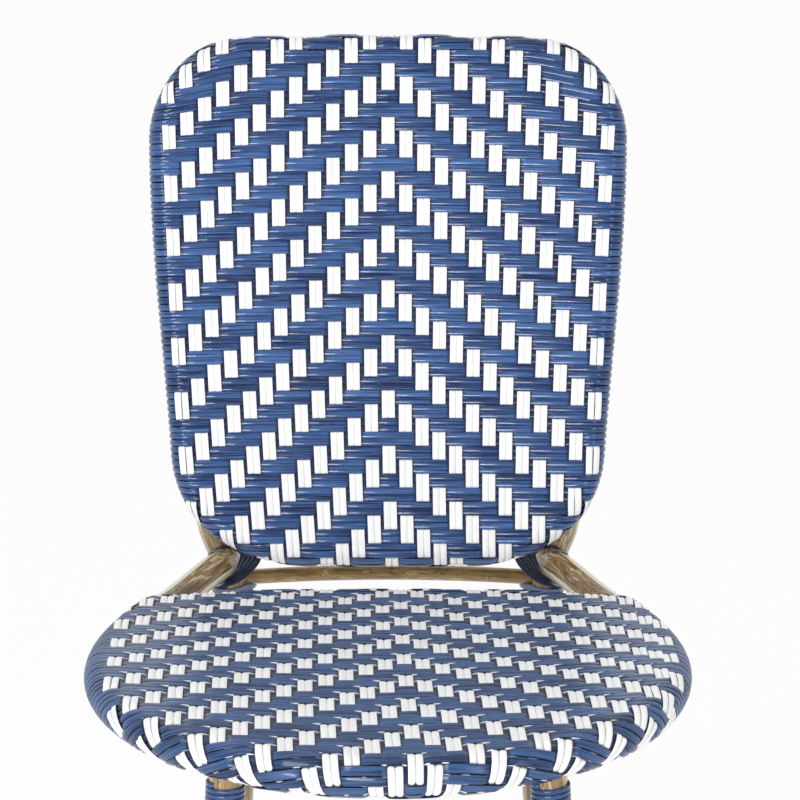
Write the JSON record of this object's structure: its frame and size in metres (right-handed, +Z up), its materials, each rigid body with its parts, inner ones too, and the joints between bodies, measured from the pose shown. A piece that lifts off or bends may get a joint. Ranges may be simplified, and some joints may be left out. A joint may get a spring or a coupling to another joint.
{
  "type": "rattan bistro chair",
  "caption": "Bistro side chair with a bamboo-look tube frame and a woven strand seat and back, for cafe and bar tables.",
  "frame": {"origin": "on the floor, under the middle of the chair's outer box", "axes": "+Z up, -Y to the chair's front, +X to the right seen from the front"},
  "size_m": [0.4506, 0.5502, 0.869],
  "materials": {
    "bamboo_tube": "painted bamboo look, satin",
    "woven_strand": "flat blue and white strands in a twill weave, satin",
    "lashing_strand": "dark blue strand, satin",
    "nylon": "moulded, matte",
    "bolt_steel": "plated"
  },
  "bodies": {
    "root": {"seat_tube": "bamboo_tube", "seat_rear_bar": "bamboo_tube", "seat_weave": "woven_strand", "rear_stretcher": "bamboo_tube", "front_stretcher": "bamboo_tube", "cross_rail": "bamboo_tube", "back_hoop": "bamboo_tube", "back_weave": "woven_strand", "right_rear_post": "bamboo_tube", "right_front_leg": "bamboo_tube", "right_side_rail": "bamboo_tube", "right_post_cap": "nylon", "right_front_glide": "nylon", "right_rear_glide": "nylon", "right_lower_panel_bolt": "bolt_steel", "right_upper_panel_bolt": "bolt_steel", "right_seat_joint_lashing": "lashing_strand", "right_stretcher_lashing": "lashing_strand", "right_front_leg_lashing": "lashing_strand", "left_rear_post": "bamboo_tube", "left_front_leg": "bamboo_tube", "left_side_rail": "bamboo_tube", "left_post_cap": "nylon", "left_front_glide": "nylon", "left_rear_glide": "nylon", "left_lower_panel_bolt": "bolt_steel", "left_upper_panel_bolt": "bolt_steel", "left_seat_joint_lashing": "lashing_strand", "left_stretcher_lashing": "lashing_strand", "left_front_leg_lashing": "lashing_strand"}
  },
  "joints": []
}
